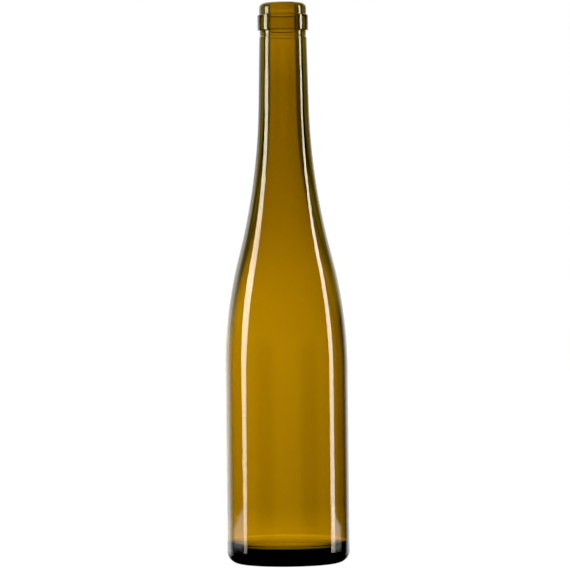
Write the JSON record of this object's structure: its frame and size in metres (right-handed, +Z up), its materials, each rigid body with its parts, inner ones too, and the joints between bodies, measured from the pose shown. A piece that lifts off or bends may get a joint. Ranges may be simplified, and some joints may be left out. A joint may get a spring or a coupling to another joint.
{
  "type": "wine bottle",
  "caption": "Tall flute wine bottle in amber-olive glass, open, with a flat-band cork finish, long sloping shoulders and a shallow punt.",
  "frame": {"origin": "centre of the base, on the surface the bottle stands on", "axes": "+Z up the bottle's axis, out of the mouth; X and Y are equivalent"},
  "size_m": [0.0772, 0.0772, 0.35],
  "materials": {
    "container_glass": "glossy, fire-polished, transparent amber-olive"
  },
  "bodies": {
    "root": {"bottle": "container_glass"}
  },
  "joints": []
}
